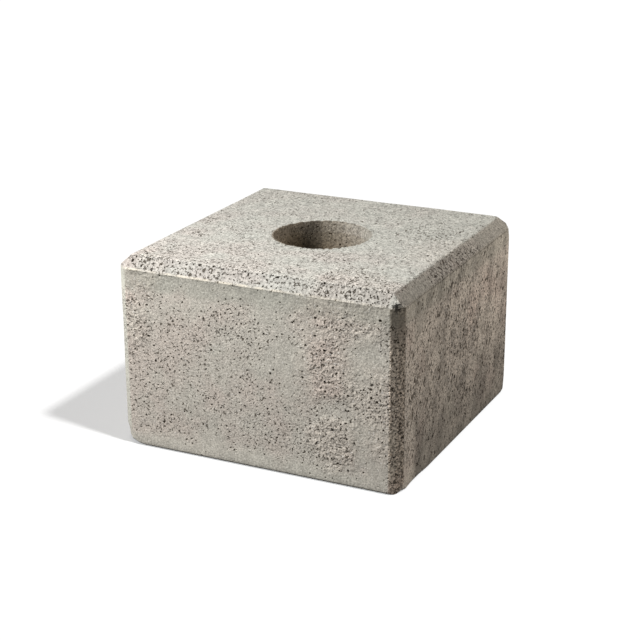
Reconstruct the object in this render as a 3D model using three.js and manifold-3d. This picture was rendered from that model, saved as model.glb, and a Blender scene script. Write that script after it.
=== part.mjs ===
// A precast concrete footing: a square block of dry-pressed concrete, lower than it is wide.
// Flat chamfers run round its top and down its four upright edges, a small arris runs round its
// underside, and a round post hole goes straight down through the middle.
// Millimetres, +Z up. The origin is the middle of the underside. The front face looks along -Y.

import * as THREE from "three";
import { mergeVertices } from "three/addons/utils/BufferGeometryUtils.js";
import Module from "manifold-3d";

// Driving dimensions
const blockWidth = 300;
const blockHeight = 195;
const topChamfer = 12;
const uprightChamfer = 10;
const footArris = 2;
const postHoleDiameter = 97;

// How finely the hole is faceted, and how far every cutter stands past the face that it cuts
const postHoleSides = 96;
const overrun = 8;

// Sizes worked out from those above
const halfWidth = blockWidth / 2;
const quarterTurn = Math.PI / 2;

// Weathered grey-beige cement, matt and dry
const concrete = new THREE.MeshStandardMaterial({
  name: "concrete",
  color: 0xb2aca2,
  roughness: 0.95,
  metalness: 0,
  flatShading: true,
});

const wasm = await Module();
wasm.setup();

// A closed solid from a three.js geometry, with the vertices of neighbouring faces shared
function solidFrom(geometry) {
  const bare = geometry.clone();
  bare.deleteAttribute("normal");
  bare.deleteAttribute("uv");
  const merged = mergeVertices(bare);
  return new wasm.Manifold(
    new wasm.Mesh({
      numProp: 3,
      vertProperties: new Float32Array(merged.attributes.position.array),
      triVerts: new Uint32Array(merged.index.array),
    }),
  );
}

// A three.js geometry from a finished solid
function geometryFrom(solid) {
  const { vertProperties, triVerts } = solid.getMesh();
  const geometry = new THREE.BufferGeometry();
  geometry.setAttribute("position", new THREE.BufferAttribute(vertProperties, 3));
  geometry.setIndex(new THREE.BufferAttribute(triVerts, 1));
  geometry.computeVertexNormals();
  return geometry;
}

// The block's upright section: straight sides, a chamfer at each top corner and an arris at each foot
function sectionOutline() {
  const outline = new THREE.Shape();
  outline.moveTo(-halfWidth + footArris, 0);
  outline.lineTo(halfWidth - footArris, 0);
  outline.lineTo(halfWidth, footArris);
  outline.lineTo(halfWidth, blockHeight - topChamfer);
  outline.lineTo(halfWidth - topChamfer, blockHeight);
  outline.lineTo(-halfWidth + topChamfer, blockHeight);
  outline.lineTo(-halfWidth, blockHeight - topChamfer);
  outline.lineTo(-halfWidth, footArris);
  outline.closePath();
  return outline;
}

// That section run through from front to back
function sectionPrism() {
  const depth = blockWidth + 2 * overrun;
  const prism = new THREE.ExtrudeGeometry(sectionOutline(), { depth, bevelEnabled: false });
  return prism.rotateX(quarterTurn).translate(0, depth / 2, 0);
}

// An upright prism, square in plan and set cornerwise, whose four sides trim the block's upright edges
function cornerTrim() {
  const reach = blockWidth - uprightChamfer;
  const plan = new THREE.Shape();
  plan.moveTo(reach, 0);
  plan.lineTo(0, reach);
  plan.lineTo(-reach, 0);
  plan.lineTo(0, -reach);
  plan.closePath();
  const depth = blockHeight + 2 * overrun;
  return new THREE.ExtrudeGeometry(plan, { depth, bevelEnabled: false }).translate(0, 0, -overrun);
}

// The round core that leaves the post hole
function postHoleCore() {
  const radius = postHoleDiameter / 2;
  const core = new THREE.CylinderGeometry(radius, radius, blockHeight + 2 * overrun, postHoleSides);
  return core.rotateX(quarterTurn).translate(0, 0, blockHeight / 2);
}

// The block is what the two crossed sections and the corner trim have in common, less the hole.
// Crossing the sections mitres the top chamfers at the corners, and the trim then cuts each mitre
// to a point, as on the real block.
function concreteBlock() {
  const frontToBack = solidFrom(sectionPrism());
  const sideToSide = solidFrom(sectionPrism().rotateZ(quarterTurn));
  const trimmed = frontToBack.intersect(sideToSide).intersect(solidFrom(cornerTrim()));
  const block = new THREE.Mesh(geometryFrom(trimmed.subtract(solidFrom(postHoleCore()))), concrete);
  block.name = "concrete_block";
  return block;
}

const footing = new THREE.Group();
footing.name = "precast_concrete_footing";
footing.add(concreteBlock());

export default footing;
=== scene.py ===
# %% [markdown]
# # A precast concrete footing
#
# The object is one block of dry-pressed concrete: square, chamfered, with a round post hole down its
# middle. Nothing on it moves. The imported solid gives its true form, and this lesson gives it the looks:
# the thousands of pits that a stiff mix leaves, the crumbled arrises and rim, and the mottled grey cement.

import math

import bpy
import numpy as np
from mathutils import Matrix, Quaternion, Vector


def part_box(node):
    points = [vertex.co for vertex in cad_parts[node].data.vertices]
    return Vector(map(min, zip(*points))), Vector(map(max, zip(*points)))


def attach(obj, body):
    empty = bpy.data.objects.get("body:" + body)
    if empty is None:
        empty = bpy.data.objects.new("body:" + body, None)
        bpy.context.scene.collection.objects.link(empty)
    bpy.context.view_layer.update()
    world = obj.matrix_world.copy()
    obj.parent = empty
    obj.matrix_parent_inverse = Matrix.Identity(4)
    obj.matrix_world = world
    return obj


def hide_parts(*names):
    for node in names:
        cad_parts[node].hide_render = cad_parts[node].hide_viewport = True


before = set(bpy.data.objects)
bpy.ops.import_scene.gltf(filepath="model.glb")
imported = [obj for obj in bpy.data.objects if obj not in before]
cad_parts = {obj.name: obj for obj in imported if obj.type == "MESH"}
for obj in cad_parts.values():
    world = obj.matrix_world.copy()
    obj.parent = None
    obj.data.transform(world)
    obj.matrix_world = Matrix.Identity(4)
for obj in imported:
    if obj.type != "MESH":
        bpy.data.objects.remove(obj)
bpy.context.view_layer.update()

MM = 0.001
HAIR = 0.1 * MM
NODE = "concrete_block"


def measure_block():
    """Reads the block's own sizes, in metres, from the corners of its solid."""
    corners = np.array([v.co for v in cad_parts[NODE].data.vertices])
    low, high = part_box(NODE)
    half = (high.x - low.x) / 2
    x, y, z = np.abs(corners[:, 0]), np.abs(corners[:, 1]), corners[:, 2]
    return {
        "half": float(half),
        "height": float(high.z),
        "top_chamfer": float(half - x[z > high.z - HAIR].max()),
        "foot_arris": float(half - x[z < low.z + HAIR].max()),
        "upright_chamfer": float(half - y[x > half - HAIR].max()),
        "hole_radius": float(np.hypot(x, y).min()),
    }


block = measure_block()
HALF = block["half"]
HEIGHT = block["height"]
CHAMFER = block["top_chamfer"]
FOOT = block["foot_arris"]
UPRIGHT = block["upright_chamfer"]
HOLE = block["hole_radius"]
SHOULDER = HEIGHT - CHAMFER
for size_name, size in block.items():
    print(f"{size_name}: {size / MM:.1f} mm")

# %% [markdown]
# ## Small helpers for node trees
#
# Geometry Nodes and shaders are built from the same kind of tree, so a few helpers serve both. `place`
# adds a node, sets its options and fills its sockets, either with a value or with another node's output.

# %% Helpers that add nodes
def place(tree, kind, inputs=None, **options):
    """Adds a node. Input sockets are filled by name or by number, with a value or a link."""
    made = tree.nodes.new(kind)
    for option, value in options.items():
        setattr(made, option, value)
    for key, value in (inputs or {}).items():
        if isinstance(value, bpy.types.NodeSocket):
            tree.links.new(value, made.inputs[key])
        else:
            made.inputs[key].default_value = value
    return made


def calc(tree, operation, *values):
    """A Math node on up to three values or links, and its result."""
    return place(tree, "ShaderNodeMath", dict(enumerate(values)), operation=operation).outputs[0]


def vector_calc(tree, operation, *values):
    """A Vector Math node and its result. SCALE takes a vector and one number."""
    inputs = dict(enumerate(values))
    if operation == "SCALE":
        inputs = {0: values[0], "Scale": values[1]}
    return place(tree, "ShaderNodeVectorMath", inputs, operation=operation).outputs[0]


def ramp(tree, value, start, end, low=0.0, high=1.0):
    """A smooth step: low before start, high after end."""
    inputs = {"Value": value, "From Min": start, "From Max": end, "To Min": low, "To Max": high}
    return place(tree, "ShaderNodeMapRange", inputs, interpolation_type="SMOOTHSTEP").outputs[0]


def between(tree, share, first, second):
    """Goes from the first value to the second as the share goes from 0 to 1."""
    return place(tree, "ShaderNodeMix", {0: share, 2: first, 3: second}, data_type="FLOAT").outputs[0]


def noise(tree, where, lump_mm, detail=2.0, roughness=0.5, shift=0.0, twist=0.0):
    """Soft noise, about 0.5 on average, with lumps of the given size. A shift gives another pattern."""
    shifted = vector_calc(tree, "ADD", where, (shift, shift, shift))
    inputs = {"Vector": shifted, "Scale": 1 / (lump_mm * MM), "Detail": detail, "Roughness": roughness}
    return place(tree, "ShaderNodeTexNoise", {**inputs, "Distortion": twist}).outputs[0]


def waver(tree, where, lump_mm, swing, **kind):
    """Noise that swings evenly to both sides of 0, by half of the swing at most."""
    return calc(tree, "MULTIPLY_ADD", noise(tree, where, lump_mm, **kind), swing, -swing / 2)


def axes(tree, where):
    """The x, y and z of a place, as three links."""
    return place(tree, "ShaderNodeSeparateXYZ", {0: where}).outputs[:3]


print("eight helpers serve both kinds of tree")

# %% [markdown]
# ## The plain block
#
# Before any wear, the block is a closed band of rings. One square ring runs round the outside at each
# height; over the chamfer the rings shrink, across the top they turn into circles, and they go down the
# hole and back under the block. A cube with a hole cut in it would be quicker, but its long thin faces
# can't be bent, while these rings make even cells, with narrow ones where an edge is eased.

# %% The rings of the plain block
CELL = 8 * MM
EASE = 1.3 * MM
EASE_SHARE = 0.4
LEAST_CUT = 1.2 * MM
CUT_CELLS = 2
FACE_CELLS = round(2 * (HALF - UPRIGHT) / CELL)
QUARTER = FACE_CELLS + CUT_CELLS + 4
COLUMNS = 4 * QUARTER


def eased_corner(before, corner, after, radius):
    """The three points of a small round that takes the place of a sharp corner."""
    start = corner + (before - corner).normalized() * radius
    end = corner + (after - corner).normalized() * radius
    return [start, (start + 2 * corner + end) / 4, end]


def steps_between(first, last, cells):
    """Evenly spaced points from the first to the last, both included."""
    return [first.lerp(last, i / cells) for i in range(cells + 1)]


def square_ring(inset, z):
    """The block's outline at an inset from its faces: four flat sides with their corners cut."""
    side = HALF - inset
    cut = max(UPRIGHT - 2 * inset, LEAST_CUT)
    ease = min(EASE, EASE_SHARE * cut)
    face_end, next_start = Vector((side, side - cut)), Vector((side - cut, side))
    first = eased_corner(face_end - Vector((0, side)), face_end, next_start, ease)
    second = eased_corner(face_end, next_start, next_start - Vector((side, 0)), ease)
    face_start = Vector((side, cut - side + ease))
    quarter = steps_between(face_start, first[0], FACE_CELLS)
    quarter += [first[1]] + steps_between(first[2], second[0], CUT_CELLS) + [second[1]]
    flat = np.array([p[:] for p in quarter]) @ np.array([1, 1j])
    whole = np.concatenate([flat * 1j**turn for turn in range(4)])
    return np.stack([whole.real, whole.imag, np.full(COLUMNS, z)], 1)


def round_ring(radius, z):
    """A circle with as many points as a square ring, in step with it."""
    angle = (np.arange(COLUMNS) - FACE_CELLS / 2) * 2 * math.pi / COLUMNS
    return np.stack([radius * np.cos(angle), radius * np.sin(angle), np.full(COLUMNS, z)], 1)


print(f"{COLUMNS} points in every ring")

# %% The section that the rings follow
SLOPE_CELLS = 3
TOP_CELLS = 12
UNDER_CELLS = 8
WALL_CELLS = 8
RIM = 0.5 * MM
RIM_ROUND = 0.3 * RIM
LIP = 4 * MM


def outer_section():
    """Inset and height of each outer ring, from the underside up to the edge of the top face."""
    below = [(FOOT + CELL, 0), (FOOT, 0), (0, FOOT)]
    above = [(0, SHOULDER), (CHAMFER, HEIGHT), (CHAMFER + CELL, HEIGHT)]
    corners = [Vector(p) for p in below + above]
    foot_ease = min(EASE, EASE_SHARE * FOOT)
    eases = [foot_ease, foot_ease, EASE, EASE]
    rounds = [eased_corner(*corners[i : i + 3], ease) for i, ease in enumerate(eases)]
    side_cells = round((SHOULDER - FOOT) / CELL)
    side = steps_between(rounds[1][2], rounds[2][0], side_cells)[1:-1]
    slope = steps_between(rounds[2][2], rounds[3][0], SLOPE_CELLS)[1:-1]
    return rounds[0] + rounds[1] + side + rounds[2] + slope + rounds[3]


def crossing(outer, inner, cells):
    """The rings between a square one and a round one, without either."""
    return [outer + (inner - outer) * (i / cells) for i in range(1, cells)]


def all_rings():
    """Every ring in order: up the outside, across the top, down the hole and back underneath."""
    outside = [square_ring(p.x, p.y) for p in outer_section()]
    mouth = [round_ring(HOLE + RIM, HEIGHT), round_ring(HOLE + RIM_ROUND, HEIGHT - RIM_ROUND)]
    heights = [HEIGHT - RIM, *np.linspace(HEIGHT - LIP, LIP, WALL_CELLS), RIM]
    wall = [round_ring(HOLE, z) for z in heights]
    outlet = [round_ring(HOLE + RIM_ROUND, RIM_ROUND), round_ring(HOLE + RIM, 0)]
    top = crossing(outside[-1], mouth[0], TOP_CELLS)
    under = crossing(outside[0], outlet[-1], UNDER_CELLS)[::-1]
    return outside + top + mouth + wall + outlet + under


rings = all_rings()
print(f"{len(rings)} rings, {2 * len(rings) * COLUMNS} triangles before any wear")

# %% [markdown]
# ## Joining the rings and marking the edges
#
# The rings become one mesh, each joined to the next and the last to the first, so it is closed from the
# start. Edges on the real block wear sooner than its faces. They could be found again later by their
# angle, but here it is known which ring or column is an edge, so each point is marked once by name.

# %% The plain block as a mesh
def plain_block():
    """Joins each ring to the next one, and the last to the first."""
    points = np.concatenate(rings)
    ring, column = np.meshgrid(np.arange(len(rings)), np.arange(COLUMNS), indexing="ij")
    next_ring, next_column = (ring + 1) % len(rings), (column + 1) % COLUMNS
    corners = [(ring, column), (ring, next_column), (next_ring, next_column), (next_ring, column)]
    faces = np.stack([r * COLUMNS + c for r, c in corners], -1).reshape(-1, 4)
    mesh = bpy.data.meshes.new("plain_block")
    mesh.from_pydata(points.tolist(), [], faces.tolist())
    return mesh


def mark_points(mesh, name, marks):
    """Stores one number for every point, to be read by name in a node tree or a material."""
    mesh.attributes.new(name, "FLOAT", "POINT").data.foreach_set("value", marks.ravel())


def ring_at(sections, inset, z):
    """The number of the ring in the middle of the round at a corner of the section."""
    corner = Vector((inset, z))
    return min(range(len(sections)), key=lambda i: (sections[i] - corner).length)


def mark_edges(mesh):
    """Marks the points on the arrises, on the shoulder below the chamfer and round the hole's rims."""
    sections = outer_section()
    marks = {name: np.zeros((len(rings), COLUMNS)) for name in ("arris", "shoulder", "rim", "lip")}
    foot, shoulder = ring_at(sections, 0, FOOT), ring_at(sections, 0, SHOULDER)
    marks["shoulder"][shoulder] = 1
    marks["arris"][[foot, shoulder, ring_at(sections, CHAMFER, HEIGHT)]] = 1
    for first_column in range(0, COLUMNS, QUARTER):
        for upright in (FACE_CELLS + 1, QUARTER - 1):
            marks["arris"][foot : shoulder + 1, first_column + upright] = 1
    mouth = len(sections) + TOP_CELLS - 1
    wall = mouth + 2
    outlet = wall + WALL_CELLS + 2
    marks["rim"][[mouth + 1, outlet]] = 1
    marks["lip"][[mouth, mouth + 1, wall, outlet - 1, outlet]] = 1
    for name, values in marks.items():
        mark_points(mesh, name, values)
        print(f"{name}: {int(values.sum())} points marked")


plain_mesh = plain_block()
mark_edges(plain_mesh)
print(f"{len(plain_mesh.polygons)} cells in the plain block")

# %% [markdown]
# ## Worn corners
#
# A block this heavy is tipped and dragged on its corners, so some of them are rounded. A Bevel modifier
# would round them all alike. Instead each worn corner, with a reach and a depth of its own, pulls the
# points around it toward the middle of the block, most at the corner itself.

# %% Rounding the worn corners
WORN_CORNERS = {
    "foot, left front": ((-1, -1, 0), 20 * MM, 5.0 * MM),
    "foot, near corner": ((1, -0.93, 0), 8 * MM, 2.2 * MM),
    "foot, right, near": ((1, -0.72, 0), 26 * MM, 1.2 * MM),
    "foot, right back": ((1, 1, 0), 18 * MM, 2.0 * MM),
    "top, right back": ((1, 1, 1), 24 * MM, 2.0 * MM),
    "top, left front": ((-1, -1, 1), 18 * MM, 0.8 * MM),
}
AIM_FROM_FOOT = 1.5 * HEIGHT
AIM_FROM_TOP = 0.7 * HEIGHT


def round_corner(points, corner, reach, pull):
    """Moves the points within reach of a corner inward, and up from the foot or down from the top."""
    tip = np.array(corner) * (HALF, HALF, HEIGHT)
    inward = np.array([0, 0, AIM_FROM_TOP if corner[2] else AIM_FROM_FOOT]) - tip
    inward = inward / np.linalg.norm(inward)
    near = np.clip(1 - np.linalg.norm(points - tip, axis=1) / reach, 0, 1)
    return points + inward * (pull * near * (2 - near))[:, None]


def wear_corners(mesh):
    """Rounds every worn corner of a mesh."""
    points = np.array([v.co for v in mesh.vertices])
    for corner, reach, pull in WORN_CORNERS.values():
        points = round_corner(points, corner, reach, pull)
    mesh.vertices.foreach_set("co", points.ravel())
    mesh.update()


wear_corners(plain_mesh)
print(f"{len(WORN_CORNERS)} worn corners")

# %% [markdown]
# ## Where the skin is open and where it is closed
#
# A stiff mix doesn't flow, so most of the skin is open and full of pits. Where cement was squeezed up
# against the mould it closed to a smooth film: in patches, under the shoulder, above the foot, around the
# hole and at the ends of the right chamfer. In a few spots it crumbled. One function says how open the
# skin is at any place. The pits that are cut and the colours that are painted both ask it, so they agree.

# %% Spots where the surface crumbled, and spots where it stayed smooth
CHAMFER_MIDDLE = HEIGHT - 0.5 * CHAMFER
CRUMBLED_SPOTS = {
    "front, right of the middle": ((0.52 * HALF, -HALF, 0.58 * HEIGHT), 42 * MM),
    "front, low on the right": ((0.58 * HALF, -HALF, 0.22 * HEIGHT), 34 * MM),
    "front, by the left edge": ((-0.97 * HALF, -HALF, 0.68 * HEIGHT), 40 * MM),
    "front chamfer, right": ((0.63 * HALF, 0.5 * CHAMFER - HALF, CHAMFER_MIDDLE), 66 * MM),
    "front chamfer, left": ((-0.84 * HALF, 0.5 * CHAMFER - HALF, CHAMFER_MIDDLE), 36 * MM),
    "near edge": ((0.97 * HALF, -0.97 * HALF, 0.42 * HEIGHT), 66 * MM),
    "right chamfer": ((HALF - 0.5 * CHAMFER, -0.05 * HALF, CHAMFER_MIDDLE), 62 * MM),
    "right face": ((HALF, 0.05 * HALF, 0.52 * HEIGHT), 78 * MM),
}
SMOOTH_SPOTS = {
    "front, right of the middle": ((0.22 * HALF, -HALF, 0.60 * HEIGHT), 34 * MM),
    "front, high by the near edge": ((0.78 * HALF, -HALF, 0.66 * HEIGHT), 32 * MM),
    "front, low by the near edge": ((0.82 * HALF, -HALF, 0.28 * HEIGHT), 30 * MM),
}
RAGGED = 50 * MM
FULL_SHARE = 0.45


def distance(tree, where, spot):
    """How far a place is from a spot."""
    return place(tree, "ShaderNodeVectorMath", {0: where, 1: spot}, operation="DISTANCE").outputs["Value"]


def in_spots(tree, where, spots):
    """1 inside any of the spots, fading out along ragged borders."""
    border = waver(tree, where, 20, RAGGED, detail=3.0, shift=8.0)
    share = 0.0
    for spot, reach in spots.values():
        apart = calc(tree, "ADD", distance(tree, where, spot), border)
        inside = ramp(tree, apart, FULL_SHARE * reach, reach, 1.0, 0.0)
        share = calc(tree, "MAXIMUM", share, inside)
    return share


print(f"{len(CRUMBLED_SPOTS)} crumbled spots and {len(SMOOTH_SPOTS)} smooth ones")

# %% Where a place lies on the block
NEAR_EDGE = 2 * HALF - UPRIGHT


def in_band(tree, value, low, high, soft):
    """About 1 where a value lies between low and high, fading to 0 over a soft margin."""
    above = ramp(tree, value, low - soft, low)
    return calc(tree, "MULTIPLY", above, ramp(tree, value, high, high + soft, 1.0, 0.0))


def from_axis(tree, where):
    """How far a place is from the upright line through the middle of the hole."""
    level = vector_calc(tree, "MULTIPLY", where, (1, 1, 0))
    return place(tree, "ShaderNodeVectorMath", {0: level}, operation="LENGTH").outputs["Value"]


print(f"the near edge starts where x less y is {NEAR_EDGE / MM:.0f} mm")

# %% How open each part of the skin is
FILM = 24 * MM
SMOOTH_UNDER_SHOULDER = 0.12
SMOOTH_ABOVE_FOOT = 0.15
SMOOTH_CHAMFER_END = 0.05
SPARSE_BACK = 0.45
SMOOTH_RIM = 0.3
OPEN_CHAMFER = 0.4


def side_openness(tree, where, patches):
    """The upright faces: closed under the shoulder and above the foot, except on the near edge."""
    x, y, z = axes(tree, where)
    level = calc(tree, "ADD", z, waver(tree, where, 26, 30 * MM, shift=3.1))
    below_shoulder = ramp(tree, level, SHOULDER - FILM, SHOULDER - 9 * MM, 1.0, SMOOTH_UNDER_SHOULDER)
    above_foot = ramp(tree, level, 8 * MM, FILM, SMOOTH_ABOVE_FOOT, 1.0)
    near_edge = ramp(tree, calc(tree, "SUBTRACT", x, y), NEAR_EDGE - 3 * MM, NEAR_EDGE - 1 * MM)
    above_foot = calc(tree, "MAXIMUM", above_foot, near_edge)
    return calc(tree, "MULTIPLY", patches, calc(tree, "MULTIPLY", below_shoulder, above_foot))


def chamfer_openness(tree, where, patches):
    """The top chamfers: open, but the right one is smooth at both of its ends."""
    x, y = axes(tree, where)[:2]
    from_middle = calc(tree, "ABSOLUTE", calc(tree, "ADD", y, 8 * MM))
    right_stretch = ramp(tree, from_middle, 52 * MM, 84 * MM, 1.0, SMOOTH_CHAMFER_END)
    on_right = ramp(tree, x, HALF - CHAMFER - 3 * MM, HALF - CHAMFER)
    stretch = between(tree, on_right, 1.0, right_stretch)
    return calc(tree, "MULTIPLY", calc(tree, "POWER", patches, OPEN_CHAMFER), stretch)


def top_openness(tree, where, patches):
    """The top: sparser toward the back, closed around the hole."""
    x, y = axes(tree, where)[:2]
    across = calc(tree, "MULTIPLY_ADD", x, 0.35, y)
    toward_front = ramp(tree, across, -0.8 * HALF, 0.7 * HALF, 1.0, SPARSE_BACK)
    off_rim = ramp(tree, from_axis(tree, where), HOLE + 2 * MM, HOLE + 24 * MM, SMOOTH_RIM, 1.0)
    return calc(tree, "MULTIPLY", patches, calc(tree, "MULTIPLY", toward_front, off_rim))


print("the skin is closed under the shoulder, above the foot and around the hole")

# %% How open the whole skin is
PATCH = 40
OPEN_IN_HOLE = 0.55
OPEN_IN_SMOOTH_SPOT = 0.35


def openness(tree, where):
    """How open the skin is at a place: near 0 for smooth, closed cement and 1 for open, pitted concrete."""
    z = axes(tree, where)[2]
    patches = ramp(tree, noise(tree, where, PATCH, detail=3.0), 0.34, 0.56, low=0.2, high=0.9)
    patches = calc(tree, "MAXIMUM", patches, in_spots(tree, where, CRUMBLED_SPOTS))
    smooth = in_spots(tree, where, SMOOTH_SPOTS)
    patches = calc(tree, "MULTIPLY", patches, between(tree, smooth, 1.0, OPEN_IN_SMOOTH_SPOT))
    sides = side_openness(tree, where, patches)
    chamfers = chamfer_openness(tree, where, patches)
    top = top_openness(tree, where, patches)
    lower = between(tree, ramp(tree, z, SHOULDER - 1 * MM, SHOULDER + 1 * MM), sides, chamfers)
    outside = between(tree, ramp(tree, z, HEIGHT - 3 * MM, HEIGHT - 2 * MM), lower, top)
    in_hole = ramp(tree, from_axis(tree, where), HOLE + 1 * MM, HOLE + 3 * MM, 1.0, 0.0)
    return between(tree, in_hole, outside, OPEN_IN_HOLE)


print(f"patches of about {PATCH} mm, and one value of {OPEN_IN_HOLE} in the hole")

# %% [markdown]
# ## Wearing the block with Geometry Nodes
#
# Every pit is a small gap between grains, so it is cut out of the block: jittered blobs are spread over
# the surface with a least distance between them, and a boolean takes them all away at once. Bump alone
# would look flat at the arrises and in raking light. One tree does it all, with its sizes as named inputs,
# so that another size can be tried by changing one entry in WEAR_SIZES.

# %% The tree and its named sizes
WEAR_SIZES = {
    "Swell": 0.5 * MM,
    "Ridge": 1.0 * MM,
    "Rim bite": 0.9 * MM,
    "Break": 0.9 * MM,
    "Large pit": 2.1 * MM,
    "Large pit spacing": 5.6 * MM,
    "Small pit": 1.85 * MM,
    "Small pit spacing": 4.7 * MM,
    "Arris chip": 1.7 * MM,
    "Arris chip spacing": 4.6 * MM,
    "Rim chip": 1.6 * MM,
    "Rim chip spacing": 4.6 * MM,
}

wear = bpy.data.node_groups.new("wear_of_the_block", "GeometryNodeTree")
wear.interface.new_socket("Geometry", in_out="INPUT", socket_type="NodeSocketGeometry")
for size_name in WEAR_SIZES:
    wear.interface.new_socket(size_name, in_out="INPUT", socket_type="NodeSocketFloat")
wear.interface.new_socket("Material", in_out="INPUT", socket_type="NodeSocketMaterial")
wear.interface.new_socket("Geometry", in_out="OUTPUT", socket_type="NodeSocketGeometry")
given = place(wear, "NodeGroupInput").outputs
position = place(wear, "GeometryNodeInputPosition").outputs[0]
normal = place(wear, "GeometryNodeInputNormal").outputs[0]
print(f"{len(WEAR_SIZES)} sizes can be changed in the tree {wear.name}")

# %% [markdown]
# ## Swollen faces, the mould's ridge, and ragged edges
#
# No face of a pressed block is quite flat, and where the two halves of the mould met, a thin ridge of
# cement squeezed out along the front shoulder. The hole's rims and the near corner have crumbled. All of
# these only move points that are there already, so Set Position is enough and nothing is cut yet.

# %% Swollen faces and the ridge along the shoulder
RUBBED_OFF = 0.12
RUBBED_AT_CORNER = 0.2


def named(name):
    """Reads a stored mark by its name."""
    return place(wear, "GeometryNodeInputNamedAttribute", {"Name": name}, data_type="FLOAT").outputs[0]


def moved(geometry, direction, amount, selection=True):
    """Moves the selected points by an amount along a direction."""
    offset = vector_calc(wear, "SCALE", direction, amount)
    inputs = {"Geometry": geometry, "Selection": selection, "Offset": offset}
    return place(wear, "GeometryNodeSetPosition", inputs).outputs[0]


def front_share(tree, where):
    """1 on the front shoulder, and little on the others, where the ridge was rubbed off."""
    x, y = axes(tree, where)[:2]
    on_front = ramp(tree, y, 1 * MM - HALF, 3 * MM - HALF, 1.0, RUBBED_OFF)
    off_corner = ramp(tree, x, 0.85 * HALF, 0.95 * HALF, 1.0, RUBBED_AT_CORNER)
    return calc(tree, "MULTIPLY", on_front, off_corner)


def swell(geometry):
    """Lets the faces bulge and sink a little, but never the flat underside."""
    lumps = waver(wear, position, 55, 2.0, detail=3.0, shift=7.0)
    clear_of_floor = ramp(wear, axes(wear, position)[2], 1 * MM, 6 * MM)
    amount = calc(wear, "MULTIPLY", calc(wear, "MULTIPLY", lumps, given["Swell"]), clear_of_floor)
    return moved(geometry, normal, amount)


def lift_ridge(geometry):
    """Raises the ring of points on the shoulder, more in some places than in others."""
    uneven = ramp(wear, noise(wear, position, 22, detail=3.0, shift=11.0), 0.3, 0.62, low=0.15, high=1.0)
    height = calc(wear, "MULTIPLY", uneven, given["Ridge"])
    height = calc(wear, "MULTIPLY", height, front_share(wear, position))
    return moved(geometry, normal, height, named("shoulder"))


swollen = lift_ridge(swell(given["Geometry"]))
print("two steps shape the faces and the shoulder")

# %% The ragged rim and the broken corner
NEAR_CORNER = (HALF - 3 * MM, 3 * MM - HALF, SHOULDER + 1 * MM)
BREAK_REACH = 14 * MM
BREAK_SEED = 16
NEAR_SHARE = 0.3


def random_number(low, high, seed):
    """A random number for every point, always the same for the same seed."""
    return place(wear, "FunctionNodeRandomValue", {2: low, 3: high, 8: seed}, data_type="FLOAT").outputs[1]


def random_vector(reach, seed):
    """A random offset of up to the given reach along each axis."""
    inputs = {0: (-reach,) * 3, 1: (reach,) * 3, 8: seed}
    return place(wear, "FunctionNodeRandomValue", inputs, data_type="FLOAT_VECTOR").outputs[0]


def near_to(tree, where, spot, reach):
    """1 close to a spot, falling to 0 at its reach."""
    return ramp(tree, distance(tree, where, spot), NEAR_SHARE * reach, reach, 1.0, 0.0)


def crumble_rims(geometry):
    """Takes bites out of both rims of the hole, down into the block."""
    bites = ramp(wear, noise(wear, position, 4.2, detail=2.0, shift=17.0), 0.42, 0.60)
    depth = calc(wear, "MULTIPLY", calc(wear, "MULTIPLY", bites, named("lip")), given["Rim bite"])
    return moved(geometry, normal, calc(wear, "MULTIPLY", depth, -1.0))


def break_corner(geometry):
    """Moves the points round the near corner a random way each, so that it looks broken."""
    reach = calc(wear, "MULTIPLY", near_to(wear, position, NEAR_CORNER, BREAK_REACH), given["Break"])
    return moved(geometry, random_vector(1.0, BREAK_SEED), reach)


plain = break_corner(crumble_rims(swollen))
print("the rims are bitten and the near corner is broken")

# %% [markdown]
# ## Pits and chips
#
# A pit is a hollow where a grain is missing, roundish and dented. A few blobs of radius 1 are dented once,
# and every point on the surface gets one of them, turned and scaled by chance. The least distance between
# points keeps the blobs of one set apart, because overlapping ones would slow the boolean down badly.

# %% Blobs that cut
BLOB_KINDS = 4


def blob_kinds(kind, sizes, jitter, first_seed):
    """A few differently dented blobs of radius 1, as instances to pick from."""
    kinds = place(wear, "GeometryNodeJoinGeometry")
    for seed in range(first_seed, first_seed + BLOB_KINDS):
        ball = place(wear, kind, {**sizes, "Radius": 1.0}).outputs["Mesh"]
        inputs = {"Geometry": ball, "Offset": random_vector(jitter, seed)}
        dented = place(wear, "GeometryNodeSetPosition", inputs).outputs[0]
        instance = place(wear, "GeometryNodeGeometryToInstance", {0: dented}).outputs[0]
        wear.links.new(instance, kinds.inputs[0])
    return kinds.outputs[0]


def cut_blobs(geometry, points, kinds, turn, size, seed):
    """Puts a blob on every point and takes all of them away from the mesh in one boolean."""
    choice = {4: 0, 5: BLOB_KINDS - 1, 8: seed}
    pick = place(wear, "FunctionNodeRandomValue", choice, data_type="INT").outputs[2]
    chosen = {"Points": points, "Instance": kinds, "Pick Instance": True, "Instance Index": pick}
    chosen |= {"Rotation": turn, "Scale": size}
    spread = place(wear, "GeometryNodeInstanceOnPoints", chosen).outputs[0]
    blobs = place(wear, "GeometryNodeRealizeInstances", {0: spread}).outputs[0]
    meshes = {"Mesh 1": geometry, "Mesh 2": blobs}
    options = {"operation": "DIFFERENCE", "solver": "MANIFOLD"}
    return place(wear, "GeometryNodeMeshBoolean", meshes, **options).outputs[0]


coarse_blobs = blob_kinds("GeometryNodeMeshIcoSphere", {"Subdivisions": 1}, jitter=0.3, first_seed=20)
fine_blobs = blob_kinds("GeometryNodeMeshUVSphere", {"Segments": 5, "Rings": 2}, jitter=0.25, first_seed=30)
print(f"{BLOB_KINDS} coarse and {BLOB_KINDS} fine blobs are ready")

# %% One set of pits
DENSEST = 400000.0
RARE_LARGE = 2.0
NARROWEST = 0.5


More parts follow.
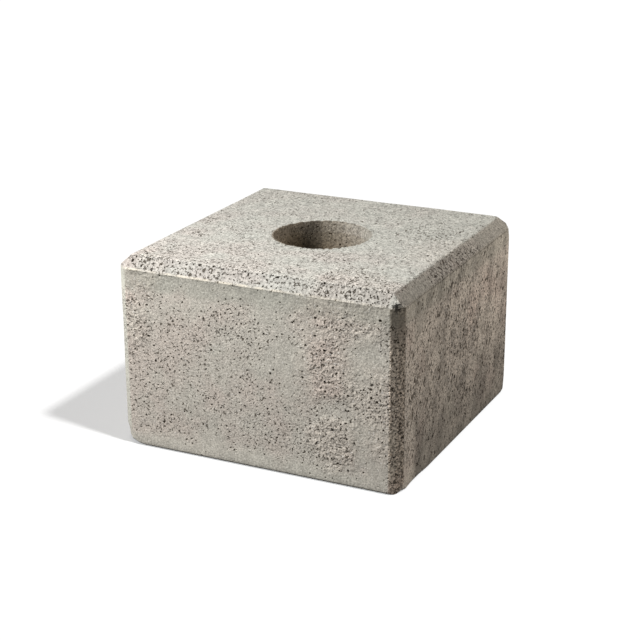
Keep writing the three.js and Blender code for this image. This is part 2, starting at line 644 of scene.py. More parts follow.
def spread_points(surface, spacing, density, seed):
    """Points over a surface, never closer together than the spacing."""
    inputs = {"Mesh": surface, "Distance Min": spacing, "Density Max": DENSEST, "Density Factor": density}
    options = {"distribute_method": "POISSON"}
    return place(wear, "GeometryNodeDistributePointsOnFaces", {**inputs, "Seed": seed}, **options).outputs


def spun(rotation, seed):
    """The turn that faces a point's normal, with a random spin about it."""
    inputs = {"Axis": (0, 0, 1), "Angle": random_number(0.0, 2 * math.pi, seed)}
    spin = place(wear, "FunctionNodeAxisAngleToRotation", inputs).outputs[0]
    inputs = {"Rotation": rotation, "Rotate By": spin}
    return place(wear, "FunctionNodeRotateRotation", inputs, rotation_space="LOCAL").outputs[0]


def pit_size(largest, least_share, seed):
    """Many small pits and a few large ones, some of them drawn out to one side."""
    chance = calc(wear, "POWER", random_number(0.0, 1.0, seed), RARE_LARGE)
    radius = calc(wear, "MULTIPLY", largest, between(wear, chance, least_share, 1.0))
    narrow = calc(wear, "MULTIPLY", radius, random_number(NARROWEST, 1.0, seed + 100))
    return place(wear, "ShaderNodeCombineXYZ", {0: radius, 1: narrow, 2: radius}).outputs[0]


def cut_pits(geometry, surface, size, kinds, density, least_share, seed):
    """One set of pits or chips, from its spread over a surface to its boolean."""
    points = spread_points(surface, given[size + " spacing"], density, seed)
    turn = spun(points["Rotation"], seed + 1)
    sizes = pit_size(given[size], least_share, seed + 2)
    return cut_blobs(geometry, points["Points"], kinds, turn, sizes, seed + 3)


print("one function makes a set of pits from its name, its density and its seed")

# %% Pits over the faces
LARGE_ANYWHERE = 0.06
LARGE_IN_SPOTS = 0.38
LARGE_ON_TOP = 0.6


def face_density(share_behind):
    """The openness, less on the back and the left face, and nothing on the underside."""
    x, y, z = axes(wear, position)
    at_back = ramp(wear, y, HALF - 3 * MM, HALF - 2 * MM)
    at_left = ramp(wear, x, 2 * MM - HALF, 3 * MM - HALF, 1.0, 0.0)
    shown = between(wear, calc(wear, "MAXIMUM", at_back, at_left), 1.0, share_behind)
    off_floor = ramp(wear, z, 2.5 * MM, 4 * MM)
    return calc(wear, "MULTIPLY", calc(wear, "MULTIPLY", openness(wear, position), shown), off_floor)


density = face_density(share_behind=0.4)
at_top = ramp(wear, axes(wear, position)[2], HEIGHT - 2 * MM, HEIGHT - 1 * MM)
in_crumbled = in_spots(wear, position, CRUMBLED_SPOTS)
large_share = between(wear, in_crumbled, LARGE_ANYWHERE, LARGE_IN_SPOTS)
large_share = calc(wear, "MAXIMUM", large_share, calc(wear, "MULTIPLY", at_top, LARGE_ON_TOP))
large_density = calc(wear, "MULTIPLY", density, large_share)
large = {"least_share": 0.45, "seed": 40}
with_large_pits = cut_pits(plain, plain, "Large pit", coarse_blobs, large_density, **large)
small = {"least_share": 0.6, "seed": 50}
with_pits = cut_pits(with_large_pits, plain, "Small pit", fine_blobs, density, **small)
print("two sets of pits follow the openness of the skin")

# %% Chips along the arrises and the rims
ANY_MARK = 0.1
FEWEST_CHIPS = 0.3
RIM_CHIPS = 0.9


def strip_along(mark):
    """The narrow faces on both sides of a marked line of points."""
    on_line = calc(wear, "GREATER_THAN", named(mark), ANY_MARK)
    return place(wear, "GeometryNodeSeparateGeometry", {0: plain, 1: on_line}, domain="FACE").outputs[0]


arris_density = between(wear, openness(wear, position), FEWEST_CHIPS, 1.0)
on_arris = {"least_share": 0.4, "seed": 60}
chipped = cut_pits(with_pits, strip_along("arris"), "Arris chip", coarse_blobs, arris_density, **on_arris)
on_rim = {"least_share": 0.7, "seed": 70}
worn = cut_pits(chipped, strip_along("rim"), "Rim chip", coarse_blobs, RIM_CHIPS, **on_rim)
print("chips follow the arrises and both rims of the hole")

# %% The depth of every pit, and the end of the tree
def store_depth(geometry):
    """Stores how far each point lies below the plain surface, for the finish to darken the pits."""
    near = place(wear, "GeometryNodeProximity", {0: plain}, target_element="FACES").outputs["Distance"]
    inputs = {"Geometry": geometry, "Name": "depth", "Value": near}
    options = {"data_type": "FLOAT", "domain": "POINT"}
    return place(wear, "GeometryNodeStoreNamedAttribute", inputs, **options).outputs[0]


shaded_smooth = place(wear, "GeometryNodeSetShadeSmooth", {"Geometry": store_depth(worn)}).outputs[0]
realized = place(wear, "GeometryNodeRealizeInstances", {0: shaded_smooth}).outputs[0]
finished = {"Geometry": realized, "Material": given["Material"]}
place(wear, "NodeGroupOutput", {0: place(wear, "GeometryNodeSetMaterial", finished).outputs[0]})
print(f"{len(wear.nodes)} nodes in the tree")

# %% [markdown]
# ## The concrete
#
# The finish is one material. Broad mottling from warm to greenish grey sits under a salt-and-pepper of
# sand grains; the open skin is full of tiny voids, the closed skin is paler and smoother. Everything is
# placed by object coordinates, so the pattern is the same from every side and bakes with the piece.

# %% Colour helpers
concrete = bpy.data.materials.new("concrete")
concrete.use_nodes = True
shader = concrete.node_tree
shader.nodes.clear()
here = place(shader, "ShaderNodeTexCoord").outputs["Object"]
along_x, along_y, along_z = axes(shader, here)


def blend(share, first, second):
    """Mixes two colours by a share from 0 to 1."""
    inputs = {"Factor": share, 6: first, 7: second}
    return place(shader, "ShaderNodeMix", inputs, data_type="RGBA").outputs[2]


def brighten(colour, amount, share=None):
    """Multiplies a colour by one number, everywhere or as far as a share says."""
    if share is not None:
        amount = between(shader, share, 1.0, amount)
    return vector_calc(shader, "SCALE", colour, amount)


def tint(colour, by, share):
    """Multiplies a colour by another one, as far as the share says."""
    return blend(share, colour, vector_calc(shader, "MULTIPLY", colour, by))


def joined(operation, shares):
    """Works one sum through several shares, two at a time."""
    result = shares[0]
    for share in shares[1:]:
        result = calc(shader, operation, result, share)
    return result


def both(*shares):
    """The product of several shares: only where all of them are near 1."""
    return joined("MULTIPLY", shares)


def either(*shares):
    """The largest of several shares: wherever one of them is near 1."""
    return joined("MAXIMUM", shares)


def outside(share):
    """The rest: 1 where a share is 0."""
    return calc(shader, "SUBTRACT", 1.0, share)


print("colours are mixed, brightened and tinted, and shares are joined")

# %% [markdown]
# ## The parts of the block that the colours tell apart
#
# The top, the chamfers, the right face and the two front edges each weathered in their own way. Each could
# have a material of its own, but then a hard border would show. Here every part is a share from 0 to 1,
# worked out from where a point lies, so one part fades into the next.

# %% The parts of the block
def more_than(value, least, soft):
    """0 below the least value and 1 above it, over a soft margin."""
    return ramp(shader, value, least - soft, least + soft)


open_skin = openness(shader, here)
rough_spot = in_spots(shader, here, CRUMBLED_SPOTS)
from_hole = calc(shader, "SUBTRACT", from_axis(shader, here), HOLE)
in_hole = ramp(shader, from_hole, 1 * MM, 3 * MM, 1.0, 0.0)
on_top = both(more_than(along_z, HEIGHT - 1 * MM, 0.5 * MM), outside(in_hole))
above_shoulder = more_than(along_z, SHOULDER, 1 * MM)
on_side = outside(above_shoulder)
below_top = ramp(shader, along_z, HEIGHT - 1.5 * MM, HEIGHT - 0.5 * MM, 1.0, 0.0)
toward_right = calc(shader, "SUBTRACT", along_x, calc(shader, "ABSOLUTE", along_y))
forward = calc(shader, "MULTIPLY", along_y, -1.0)
toward_front = calc(shader, "SUBTRACT", forward, calc(shader, "ABSOLUTE", along_x))
right_part = both(more_than(toward_right, 0, 1 * MM), below_top, outside(in_hole))
front_part = more_than(toward_front, 0, 1 * MM)
front_chamfer = both(front_part, below_top, above_shoulder)
edge_start = NEAR_EDGE - 1 * MM
near_edge = both(more_than(calc(shader, "ADD", along_x, forward), edge_start, 0.7 * MM), on_side)
left_edge = both(more_than(calc(shader, "SUBTRACT", forward, along_x), edge_start, 0.7 * MM), on_side)
right_face = both(right_part, on_side, outside(near_edge))
right_chamfer = both(right_part, above_shoulder)
shaded = either(right_part, near_edge)
strip_end = calc(shader, "MULTIPLY_ADD", noise(shader, here, 22, detail=3.0, shift=13.0), 16 * MM, along_y)
pale_strip = both(right_face, ramp(shader, strip_end, 34 * MM - HALF, 52 * MM - HALF, 1.0, 0.0))
smeared = calc(shader, "SUBTRACT", right_face, pale_strip)
print("the colours ask the same openness as the pits")

# %% [markdown]
# ## Mottling and smears
#
# Cement dries unevenly, so its grey drifts from warm to cool in lumps of every size, and on the right the
# mould was drawn up along the wet face and smeared it. A painted texture could show one such block, but
# noise at three sizes, stretched for the smears, needs no image and stays sharp at any distance.

# %% The mottled colour
WARM = (0.542, 0.486, 0.432, 1.0)
COOL = (0.542, 0.513, 0.455, 1.0)
PASTE = (0.492, 0.478, 0.421, 1.0)
COOLER = (0.955, 1.0, 1.04)
WARMER_LEFT = 0.12
PASTE_SHARE = 0.85
PAINTED_LIGHT_AT_FRONT = 1.06
SPARKLE = 0.34
STRONG_SPARKLE = 0.46

broad = noise(shader, here, 60, detail=3.0, shift=2.0)
leftward = calc(shader, "MULTIPLY_ADD", along_x, -WARMER_LEFT / HALF, broad)
colour = blend(ramp(shader, leftward, 0.38, 0.60), COOL, WARM)
colour = blend(both(outside(open_skin), PASTE_SHARE), colour, PASTE)
colour = tint(colour, COOLER, above_shoulder)
medium = noise(shader, here, 9, detail=4.0, roughness=0.6, shift=5.0)
colour = brighten(colour, ramp(shader, medium, 0.25, 0.75, low=0.88, high=1.12))
fine = noise(shader, here, 2.0, detail=3.0, roughness=0.7, shift=9.0)
sparkle = ramp(shader, fine, 0.28, 0.72, low=-1.0, high=1.0)
contrast = between(shader, either(on_top, right_part), SPARKLE, STRONG_SPARKLE)
colour = brighten(colour, calc(shader, "MULTIPLY_ADD", sparkle, contrast, 1.0))
# Painted light: the top is brightened toward the front, as a nearer lamp would brighten it.
colour = brighten(colour, ramp(shader, along_y, -HALF, 0.2 * HALF, low=PAINTED_LIGHT_AT_FRONT, high=1.0), on_top)
print("three sizes of mottling, and a top that is palest at the front")

# %% Smears on the right, where the mould was drawn up along the face
LEAN = 0.3
BLUSH = (1.03, 1.0, 0.99)

sheared = calc(shader, "MULTIPLY_ADD", along_z, -LEAN, along_y)


def drawn_out(height_share):
    """Places on a leaning, squeezed copy of the block, where round noise turns into upright streaks."""
    squeezed = {0: along_x, 1: sheared, 2: both(along_z, height_share)}
    return place(shader, "ShaderNodeCombineXYZ", squeezed).outputs[0]


smear = noise(shader, drawn_out(0.62), 19, detail=5.0, roughness=0.6, shift=6.0)
colour = brighten(colour, ramp(shader, smear, 0.34, 0.66, low=0.72, high=1.24), smeared)
colour = tint(colour, BLUSH, either(shaded, rough_spot))
print("the smears lean a little to the front")

# %% [markdown]
# ## Voids, grains, dirt and painted shade
#
# Between the pits that are cut, the open skin has voids too small to cut one by one, and pale grains of
# sand. Dust and soil settle in the voids and pits, and their dark colour is also painted shade in these
# hollows. The voids are the peaks of a noise: where the skin is open the threshold is lower, so more of
# them show. The cut pits are darkened by the depth that the tree stored, as dirt and painted shade.

# %% Where the tiny voids are
VOID_START_CLOSED = 0.74
VOID_START_OPEN = 0.607
VOID_EASIER = 0.03
VOID_BORDER = 0.03
RIGHT_OF_HOLE = (0.66 * HALF, 0.34 * HALF, HEIGHT)

across_top = between(shader, on_top, 1.0, 1.35)
along_top = between(shader, on_top, 1.0, 0.80)
stretch = place(shader, "ShaderNodeCombineXYZ", {0: across_top, 1: along_top, 2: 1.0}).outputs[0]
void_place = blend(right_face, vector_calc(shader, "MULTIPLY", here, stretch), drawn_out(0.55))
void_field = noise(shader, void_place, 3.1, detail=1.5, roughness=0.55, shift=4.0, twist=0.8)
middle_band = in_band(shader, along_z, 0.16 * HEIGHT, 0.76 * HEIGHT, 0.08 * HEIGHT)
not_smooth = outside(in_spots(shader, here, SMOOTH_SPOTS))
pitted_front = both(front_part, on_side, middle_band, not_smooth, 0.82)
pitted_top = both(on_top, either(near_to(shader, here, RIGHT_OF_HOLE, 62 * MM), 0.55))
void_skin = either(open_skin, both(smeared, 0.8), pitted_top, pitted_front)
void_start = between(shader, void_skin, VOID_START_CLOSED, VOID_START_OPEN)
easier = either(shaded, both(front_chamfer, 0.5), both(on_top, 0.8))
void_start = calc(shader, "MULTIPLY_ADD", easier, -VOID_EASIER, void_start)
void = ramp(shader, calc(shader, "SUBTRACT", void_field, void_start), 0.0, VOID_BORDER)
print("the voids follow the openness, and the top and the right have more of them")

# %% Dirt and painted shade in the voids and pits, and pale grains
DIRT_AND_SHADE = (0.085, 0.070, 0.052, 1.0)
GRAIN = (0.78, 0.75, 0.70, 1.0)
DIRT_AND_SHADE_IN_VOIDS = 0.9
DIRT_AND_SHADE_IN_PITS = 0.78

# Dirt and painted shade darken the voids.
colour = blend(both(void, DIRT_AND_SHADE_IN_VOIDS), colour, DIRT_AND_SHADE)
grain = ramp(shader, noise(shader, here, 2.6, detail=1.0, shift=1.0), 0.62, 0.70)
colour = blend(both(grain, between(shader, rough_spot, 0.45, 0.75)), colour, GRAIN)
depth = place(shader, "ShaderNodeAttribute", attribute_name="depth").outputs["Fac"]
# Dirt and painted shade: the deeper a pit, the darker its colour.
colour = blend(ramp(shader, depth, 0.05 * MM, 1.0 * MM, low=0.0, high=DIRT_AND_SHADE_IN_PITS), colour, DIRT_AND_SHADE)
print("the deeper a pit, the darker it is")

# %% [markdown]
# ## Marks of casting and of use, and painted light and shade
#
# The ridge on the shoulder is cream with a painted highlight, the greenish film under it is partly painted
# shade, and the foot has painted shade. The right side is warmer, with painted shade that dims it toward
# the floor and a painted shadow line under its chamfer. The hole is soiled, with painted shade and painted
# light on its wall, and the near edge is browner than the faces beside it. Each of these could be a layer
# in a painting program. Here each is laid over the last by the share of the part that it belongs to, so it
# follows the block's own sizes.

# %% The ridge, the front chamfer and the foot
CREAM_AND_HIGHLIGHT = (0.66, 0.615, 0.525, 1.0)
GREENER_AND_SHADED = (0.71, 0.74, 0.73)
CHAMFER_TONE = 0.86
ABOVE_FOOT_TONE = 1.10
FOOT_SHADE_TONE = 0.70

ridge_line = in_band(shader, along_z, SHOULDER - 0.3 * MM, SHOULDER + 1.2 * MM, 0.6 * MM)
uneven = ramp(shader, noise(shader, here, 14, detail=4.0, shift=11.0), 0.36, 0.6, low=0.15, high=1.0)
uneven = both(uneven, ramp(shader, along_x, -0.2 * HALF, 0.5 * HALF, low=1.0, high=0.55))
colour = brighten(colour, CHAMFER_TONE, front_chamfer)
# Cream cement on the ridge, brightened further as a painted highlight where the ridge catches the light.
colour = blend(both(ridge_line, uneven, front_share(shader, here), 0.9), colour, CREAM_AND_HIGHLIGHT)
colour = brighten(colour, ABOVE_FOOT_TONE, in_band(shader, along_z, 8 * MM, 18 * MM, 6 * MM))
# Painted shade at the foot, where the eased arris turns under the block.
colour = brighten(colour, FOOT_SHADE_TONE, ramp(shader, along_z, 0.5 * MM, 5.0 * MM, 1.0, 0.0))
# A greenish film under the ridge, also darkened as painted shade below the ridge.
under_ridge = in_band(shader, along_z, SHOULDER - 14 * MM, SHOULDER - 1 * MM, 8 * MM)
colour = tint(colour, GREENER_AND_SHADED, both(under_ridge, on_side, 0.5))
print("a pale ridge, a greenish film under it and a dark foot")

# %% The right side
WARMER = (0.985, 0.962, 0.950)
SHADOW_UNDER_RIDGE_TONE = 0.66
STRIP_TONE = 1.24
RIGHT_CHAMFER_TONE = 0.85

# Painted shadow: a thin dark line under the right chamfer, where the ridge overhangs the face.
shadow_under_ridge = in_band(shader, along_z, SHOULDER - 1.3 * MM, SHOULDER - 0.5 * MM, 0.4 * MM)
colour = brighten(colour, SHADOW_UNDER_RIDGE_TONE, both(shadow_under_ridge, right_part))
# Painted shade: the smeared right face is darkened toward the floor.
colour = brighten(colour, ramp(shader, along_z, 0.0, 0.65 * HEIGHT, low=0.58, high=1.10), smeared)
colour = brighten(colour, STRIP_TONE, pale_strip)
colour = tint(colour, WARMER, right_part)
colour = brighten(colour, RIGHT_CHAMFER_TONE, right_chamfer)
print("the right face dims toward the floor, beside a pale strip along the near edge")

# %% The hole
SOIL_AND_SHADE = (0.175, 0.140, 0.097, 1.0)
ACROSS_HOLE = (0.90, 0.435)
PAINTED_SHADE_TONE = 0.56
PAINTED_LIGHT_TONE = 1.4
COARSE_SHARE = 0.6

# Soil and painted shade: the hole's wall darkens with depth and toward its left side.
soil_and_shade_share = ramp(shader, along_z, HEIGHT - 50 * MM, HEIGHT - 2 * MM, low=0.94, high=0.60)
soil_and_shade_share = calc(shader, "ADD", soil_and_shade_share, ramp(shader, along_x, -0.6 * HOLE, 0.6 * HOLE, low=0.2, high=-0.12))
colour = blend(both(in_hole, soil_and_shade_share), colour, SOIL_AND_SHADE)
across_hole = calc(shader, "MULTIPLY_ADD", along_x, ACROSS_HOLE[0], both(along_y, ACROSS_HOLE[1]))
# Painted shade: a dark band across the left middle of the hole's wall.
painted_shade = both(in_hole, in_band(shader, across_hole, -13 * MM, -6 * MM, 12 * MM))
colour = brighten(colour, PAINTED_SHADE_TONE, painted_shade)
# Painted light: the far left of the hole's wall is brightened, from 5 to 16 mm below its top downward.
painted_light = both(in_hole, ramp(shader, across_hole, -24 * MM, -16 * MM, 1.0, 0.0))
painted_light = both(painted_light, ramp(shader, along_z, HEIGHT - 16 * MM, HEIGHT - 5 * MM, 1.0, 0.0))
colour = brighten(colour, PAINTED_LIGHT_TONE, painted_light)
coarse = ramp(shader, noise(shader, here, 2.1, detail=2.0, shift=14.0), 0.34, 0.66, low=0.50, high=1.60)
colour = brighten(colour, coarse, both(in_hole, COARSE_SHARE))
print("a soiled hole with a damp streak")

# %% The near edge, the left edge and the broken corner
BROWN = (1.23, 1.17, 1.11)
PALE_EDGE = (0.590, 0.590, 0.520, 1.0)
PALE_EDGE_SHARE = 0.75
EDGE_TOP_TONE = 0.75

edge_top = ramp(shader, along_z, SHOULDER - 42 * MM, SHOULDER - 26 * MM)
rubbed = brighten(colour, between(shader, edge_top, coarse, EDGE_TOP_TONE))
colour = blend(near_edge, colour, vector_calc(shader, "MULTIPLY", rubbed, BROWN))
colour = blend(both(left_edge, PALE_EDGE_SHARE), colour, PALE_EDGE)
broken = ramp(shader, noise(shader, here, 3.2, detail=1.0, shift=15.0), 0.40, 0.60, low=0.25, high=1.45)
colour = brighten(colour, broken, near_to(shader, here, NEAR_CORNER, 11 * MM))
print("a brown near edge and a pale left one")

# %% [markdown]
# ## The rough surface
#
# What is finer than the cut pits still roughens the block: sand grains stand out, voids sink in, crumbled
# spots are lumpy and the smears are ridged. Cutting these would take millions of triangles, so they are a
# bump. The shader itself is matt, with a weak reflection, as dry cement is.

# %% The bump and the shader
CLOSED_BUMP = 0.5

lumps = noise(shader, here, 4.5, detail=2.0, shift=12.0)
relief = calc(shader, "MULTIPLY", fine, 1.0 * MM)
heights = [
    (both(lumps, rough_spot), 2.8 * MM),
    (grain, 0.25 * MM),
    (void, -1.1 * MM),
    (both(smear, right_face), 1.2 * MM),
]
for bumpy, height in heights:
    relief = calc(shader, "MULTIPLY_ADD", bumpy, height, relief)
strength = between(shader, open_skin, CLOSED_BUMP, 1.0)
bump = place(shader, "ShaderNodeBump", {"Height": relief, "Distance": 1.0, "Strength": strength}).outputs[0]
surface = place(shader, "ShaderNodeBsdfPrincipled", {"Base Color": colour, "Normal": bump})
surface.inputs["Roughness"].default_value = 0.93
surface.inputs["Specular IOR Level"].default_value = 0.25
place(shader, "ShaderNodeOutputMaterial", {"Surface": surface.outputs[0]})
print(f"{len(shader.nodes)} nodes in the concrete")

# %% [markdown]
# ## From node tree to finished piece
#
# The tree is a recipe. The evaluated result is copied out as a plain mesh, so that the piece that is kept
# carries no modifier. A boolean can leave a few slivers behind, so only the one closed body is kept, and
# the rims of the pits are marked sharp so that they catch the light.

# %% Running the tree
def evaluated_mesh(mesh, tree, sizes):
    """Runs a node tree once on a mesh, and gives the result as a mesh of its own."""
    carrier = bpy.data.objects.new("carrier", mesh)
    bpy.context.scene.collection.objects.link(carrier)
    modifier = carrier.modifiers.new("wear", "NODES")
    modifier.node_group = tree
    for socket in tree.interface.items_tree:
        if socket.in_out == "INPUT" and socket.name in sizes:
            modifier[socket.identifier] = sizes[socket.name]
    result = bpy.data.meshes.new_from_object(carrier.evaluated_get(bpy.context.evaluated_depsgraph_get()))
    carrier.modifiers.clear()
    bpy.data.objects.remove(carrier)
    return result


cut_mesh = evaluated_mesh(plain_mesh, wear, {**WEAR_SIZES, "Material": concrete})
print(f"{len(cut_mesh.polygons)} polygons come out of the tree")

# %% The worn block as one closed body
SHARP = math.radians(34)


def read_numbers(items, field, width, kind=float):
    """Reads one field of every item of a mesh as an array."""
    numbers = np.empty(len(items) * width, kind)
    items.foreach_get(field, numbers)
    return numbers.reshape(-1, width)


def count_alike(rows):
    """For every row, the number of the kind it belongs to and how often each kind comes."""
    kind, uses = np.unique(np.sort(rows, axis=1), axis=0, return_inverse=True, return_counts=True)[1:]
    return kind.ravel(), uses


def single_triangles(triangles):
    """Leaves out the few pairs that lie back to back, where two polygons were split alike."""
    kind, uses = count_alike(triangles)
    return triangles[uses[kind] == 1]


def largest_body(triangles):
    """Leaves out slivers that hang on by a point or an edge. Neighbours take on their lowest label."""
    edge, uses = count_alike(triangles[:, ((0, 1), (1, 2), (2, 0))].reshape(-1, 2))
    order = np.argsort(edge, kind="stable")
    plain_edges = order[uses[edge[order]] == 2]
    one_side, other_side = (plain_edges // 3).reshape(-1, 2).T
    label, before = np.arange(len(triangles)), None
    while before is None or (label != before).any():
        before = label.copy()
        lowest = np.minimum(label[one_side], label[other_side])
        np.minimum.at(label, one_side, lowest)
        np.minimum.at(label, other_side, lowest)
        label = label[label]
    return triangles[label == np.bincount(label).argmax()]


def clean_triangles(mesh):
    """The mesh as one closed body of triangles, with the depth at each point."""
    mesh.calc_loop_triangles()
    triangles = read_numbers(mesh.loop_triangles, "vertices", 3, int)
    kept = largest_body(single_triangles(triangles))
    used = np.unique(kept)
    points = read_numbers(mesh.vertices, "co", 3)[used]
    clean = bpy.data.meshes.new("worn_block")
    clean.from_pydata(points.tolist(), [], np.searchsorted(used, kept).tolist(), shade_flat=False)
    mark_points(clean, "depth", read_numbers(mesh.attributes["depth"].data, "value", 1)[used])
    clean.materials.append(concrete)
    print(f"{len(triangles) - len(kept)} stray triangles left out")
    return clean


worn_mesh = clean_triangles(cut_mesh)
worn_mesh.set_sharp_from_angle(angle=SHARP)
print(f"{len(worn_mesh.polygons)} triangles in the worn mesh")

# %% [markdown]
# ## A flat layout for baking
#
# The layout lets the piece's colours be baked onto a square sheet, where every face needs a place.
# Blender's own Smart UV Project would break the pitted skin into thousands of islands. The block's form is
# known, so its sides, top, underside and the wall of the hole are each laid out flat as a whole.

# %% A flat layout of the block's faces
SHEET_GAP = 5 * MM
SHEET = 4 * SHEET_GAP + 2 * HEIGHT + 2 * HALF
ON_FLOOR = 0.3 * MM
OFF_RIM = 0.6 * MM
WALL_DEPTH = 3 * MM


def flat_corners(corner, middle):
    """Where each corner of each polygon goes on the sheet, in metres, by the face its middle lies on."""
    round_the_block = corner[:, 0] + 1j * corner[:, 1]
    middle_round = middle[:, 0] + 1j * middle[:, 1]
    face = np.round(np.angle(middle_round) / (math.pi / 2)).astype(int) % 4
    along = (round_the_block * 1j ** -face).imag
    step, row = 2 * HALF + SHEET_GAP, HEIGHT + SHEET_GAP
    flat = np.stack([HALF + along + (face % 2) * step, corner[:, 2] + (face // 2) * row], 1)
    upper = middle[:, 2] > SHOULDER
    flat[upper] = corner[upper, :2] + (HALF, HALF + 2 * row)
    lower = middle[:, 2] < ON_FLOOR
    flat[lower] = corner[lower, :2] / 2 + (step + HALF / 2, HALF / 2 + 2 * row)
    between_rims = np.abs(middle[:, 2] - HEIGHT / 2) < HEIGHT / 2 - OFF_RIM
    wall = (np.abs(middle_round) < HOLE + WALL_DEPTH) & between_rims
    turn = np.angle(middle_round) + np.angle(round_the_block / middle_round) + math.pi
    rolled = np.stack([turn * HOLE, corner[:, 2]], 1) / 2 + (step, HALF + SHEET_GAP + 2 * row)
    flat[wall] = rolled[wall]
    return flat + SHEET_GAP


def lay_out(mesh):
    """Gives the mesh a UV map with the sides in two rows, and the top, underside and hole above them."""
    points = read_numbers(mesh.vertices, "co", 3)
    vertex = read_numbers(mesh.loops, "vertex_index", 1, int)[:, 0]
    corners_each = read_numbers(mesh.polygons, "loop_total", 1, int)[:, 0]
    middle = np.repeat(read_numbers(mesh.polygons, "center", 3), corners_each, axis=0)
    flat = flat_corners(points[vertex], middle) / SHEET
    mesh.uv_layers.new(name="OFBake").data.foreach_set("uv", flat.ravel())
    return flat


flat = lay_out(worn_mesh)
print(f"the layout fills {flat.min(0).round(3)} to {flat.max(0).round(3)} of the sheet")

# %% The finished piece
worn_block = bpy.data.objects.new("worn_block", worn_mesh)
bpy.context.scene.collection.objects.link(worn_block)
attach(worn_block, "root")
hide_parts(NODE)
worn_mesh.calc_loop_triangles()
print(f"{len(worn_mesh.loop_triangles)} triangles in the finished block")

# %% [markdown]
# ## Floor and light
#
# The photograph has a white floor with one soft shadow, and a block that is lit from the front left while
# its right face stays in shade. One lamp could not do both, so light linking gives the block and the floor
# lamps of their own. The floor looks white to the camera but throws little light back up on the block.

# %% The floor
FLOOR_REACH = 8.0
FLOOR_SEEN = 0.82
FLOOR_BOUNCE = 0.15


def pale_floor():
    """A wide plain floor that looks white but throws little light back up on the block."""
    mesh = bpy.data.meshes.new("floor")
    corners = [(x * FLOOR_REACH, y * FLOOR_REACH, 0) for x, y in ((-1, -1), (1, -1), (1, 1), (-1, 1))]
    mesh.from_pydata(corners, [], [(0, 1, 2, 3)])
    paint = bpy.data.materials.new("pale_floor")
    paint.use_nodes = True
    seen = place(paint.node_tree, "ShaderNodeLightPath").outputs["Is Camera Ray"]
    inputs = {"Value": seen, "To Min": FLOOR_BOUNCE, "To Max": FLOOR_SEEN}
    tone = place(paint.node_tree, "ShaderNodeMapRange", inputs).outputs[0]
    skin = paint.node_tree.nodes["Principled BSDF"]
    paint.node_tree.links.new(tone, skin.inputs["Base Color"])
    skin.inputs["Roughness"].default_value = 0.9
    skin.inputs["Specular IOR Level"].default_value = 0.0
    mesh.materials.append(paint)
    floor = bpy.data.objects.new("floor", mesh)
    bpy.context.scene.collection.objects.link(floor)
    return floor


floor = pale_floor()
print("the floor reaches past the edges of the picture")

# %% The lamps on the block
MIDDLE = Vector((0, 0, HEIGHT / 2))
FRONT_LEFT = (-0.45, -0.57, 0.69)
BACK_RIGHT = (0.70, 0.60, 0.38)
NEARLY_WHITE = (1.0, 0.99, 0.98)
WARM_LIGHT = (1.0, 0.92, 0.84)


def only_lights(lamp, target):
    """Lets a lamp light one object alone."""
    group = bpy.data.collections.new(lamp.name + "_lights")
    group.objects.link(target)
    lamp.light_linking.receiver_collection = group


def add_lamp(name, kind, direction, distance, target):
    """A lamp of some kind, in a direction from the block, that looks at it and lights one object."""
    lamp = bpy.data.objects.new(name, bpy.data.lights.new(name, kind))
    toward = Vector(direction).normalized()
    lamp.location = MIDDLE + toward * distance
    lamp.rotation_euler = toward.to_track_quat("Z", "Y").to_euler()
    bpy.context.scene.collection.objects.link(lamp)
    only_lights(lamp, target)
    return lamp


def soft_lamp(name, direction, distance, size, strength, tint):
    """A square lamp. A white card in the middle, facing it, would look as bright as the strength."""
    lamp = add_lamp(name, "AREA", direction, distance, worn_block)
    lamp.data.size = size
    lamp.data.energy = strength * (math.pi * distance) ** 2
    lamp.data.color = tint


soft_lamp("key", FRONT_LEFT, distance=1.15, size=0.34, strength=1.28, tint=NEARLY_WHITE)
soft_lamp("fill", BACK_RIGHT, distance=1.0, size=0.4, strength=0.38, tint=WARM_LIGHT)
print("a key from the front left and a weak, warm fill from the back right")

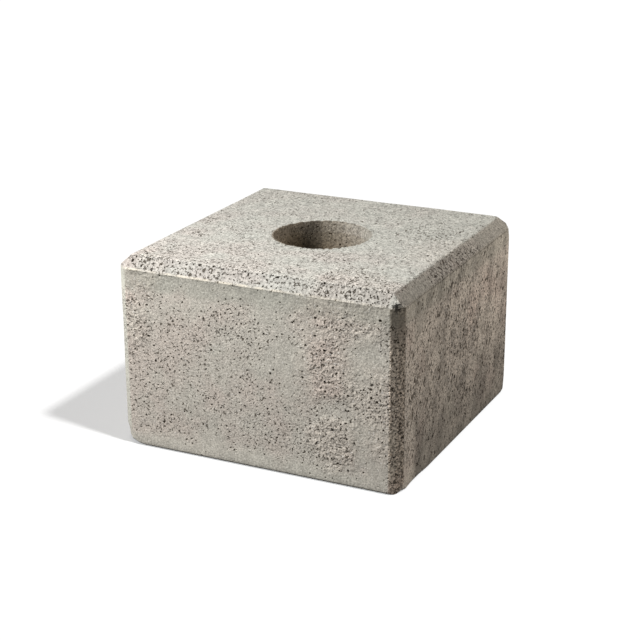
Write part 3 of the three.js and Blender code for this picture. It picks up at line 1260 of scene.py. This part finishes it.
# %% The lamps on the floor, and the room
OVERHEAD = (0, 0, 1)
SHADOW_FROM = (0.124, -0.022, 0.195)
COOL_LIGHT = (0.965, 0.98, 1.0)
WHITE = (1.0, 1.0, 1.0)
ROOM = (1.0, 0.95, 0.89, 1.0)
ROOM_STRENGTH = 0.22


def distant_lamp(name, direction, strength, spread, tint, shadow):
    """Even light from far away, on the floor alone, with or without a shadow."""
    lamp = add_lamp(name, "SUN", direction, 1.0, floor)
    lamp.data.energy = strength * math.pi
    lamp.data.angle = math.radians(spread)
    lamp.data.color = tint
    lamp.data.use_shadow = shadow


distant_lamp("overhead", OVERHEAD, strength=0.56, spread=0.0, tint=COOL_LIGHT, shadow=False)
distant_lamp("shadow_caster", SHADOW_FROM, strength=0.62, spread=5.0, tint=WHITE, shadow=True)
world = bpy.data.worlds.new("studio")
world.use_nodes = True
world.node_tree.nodes["Background"].inputs["Color"].default_value = ROOM
world.node_tree.nodes["Background"].inputs["Strength"].default_value = ROOM_STRENGTH
bpy.context.scene.world = world
bpy.context.scene.view_settings.view_transform = "Standard"
print("an even floor with one soft shadow, in a dim room")

# %% [markdown]
# ## The camera
#
# The photograph looks a little down on the near corner with a long lens. The camera's angles, distance and
# lens were worked out from the block's straight edges in the picture, so that render and photograph can be
# laid over each other. It turns about the line of sight by a hair, because the picture isn't quite level.

# %% The camera
AZIMUTH = math.radians(25.82)
ELEVATION = math.radians(19.54)
ROLL = math.radians(0.24)
DISTANCE = 1.5957
AIM = Vector((-0.0030, 0.0007, 0.1028))
SENSOR_MM = 36.0
LENS_MM = 87.53

lens = bpy.data.cameras.new("camera")
lens.sensor_width = SENSOR_MM
lens.lens = LENS_MM
camera = bpy.data.objects.new("camera", lens)
level = math.cos(ELEVATION)
sight = Vector((level * math.sin(AZIMUTH), -level * math.cos(AZIMUTH), math.sin(ELEVATION)))
camera.location = AIM + sight * DISTANCE
camera.rotation_euler = (Quaternion(sight, -ROLL) @ sight.to_track_quat("Z", "Y")).to_euler()
bpy.context.scene.collection.objects.link(camera)
bpy.context.scene.camera = camera
print(f"the camera is at {tuple(round(c, 3) for c in camera.location)}")
